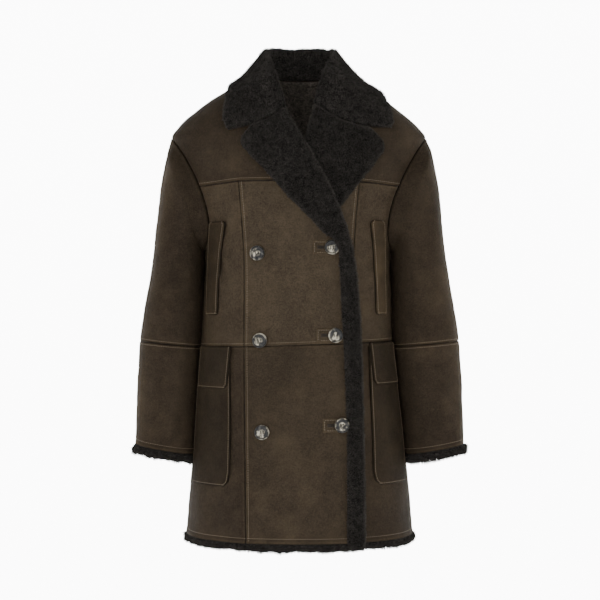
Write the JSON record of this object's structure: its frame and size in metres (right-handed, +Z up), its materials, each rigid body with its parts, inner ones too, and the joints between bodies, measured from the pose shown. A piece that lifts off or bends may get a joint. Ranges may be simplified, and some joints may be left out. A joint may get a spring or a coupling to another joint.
{
  "type": "shearling coat",
  "caption": "Hip-length double-breasted shearling coat, filled out with no wearer, with fleece collar and lapels, flap pockets and an open, hollow body.",
  "frame": {"origin": "inside the coat on its middle plane, between the shoulders where the wearer carries it, halfway from front to back", "axes": "+Z up, the front faces -Y, +X towards the wearer's left"},
  "size_m": [0.605, 0.3023, 0.9123],
  "materials": {
    "leather": "dark brown waxed sheepskin suede, mottled, rubbed paler at seams and edges",
    "pocket_leather": "dark brown waxed sheepskin suede, a shade darker",
    "fleece": "dense near-black sheep fleece",
    "horn": "polished marbled horn, grey, cream and black"
  },
  "bodies": {
    "root": {"right_yoke": "leather", "left_yoke": "leather", "right_front_upper": "leather", "right_front_lower": "leather", "left_front_upper": "leather", "left_front_lower": "leather", "right_side_front_upper": "leather", "right_side_front_lower": "leather", "left_side_front_upper": "leather", "left_side_front_lower": "leather", "back_upper": "leather", "back_lower": "leather", "right_sleeve_upper": "leather", "right_sleeve_lower": "leather", "left_sleeve_upper": "leather", "left_sleeve_lower": "leather", "buttonhole_patch_1": "leather", "buttonhole_patch_2": "leather", "buttonhole_patch_3": "leather", "right_chest_welt": "pocket_leather", "left_chest_welt": "pocket_leather", "right_patch_pocket": "pocket_leather", "left_patch_pocket": "pocket_leather", "right_pocket_flap": "pocket_leather", "left_pocket_flap": "pocket_leather", "collar": "fleece", "right_lapel": "fleece", "left_lapel": "fleece", "hem_fleece_right": "fleece", "hem_fleece_left": "fleece", "hem_fleece_back": "fleece", "cuff_fleece_right": "fleece", "cuff_fleece_left": "fleece", "button_right_1": "horn", "button_right_2": "horn", "button_right_3": "horn", "button_left_1": "horn", "button_left_2": "horn", "button_left_3": "horn"}
  },
  "joints": []
}
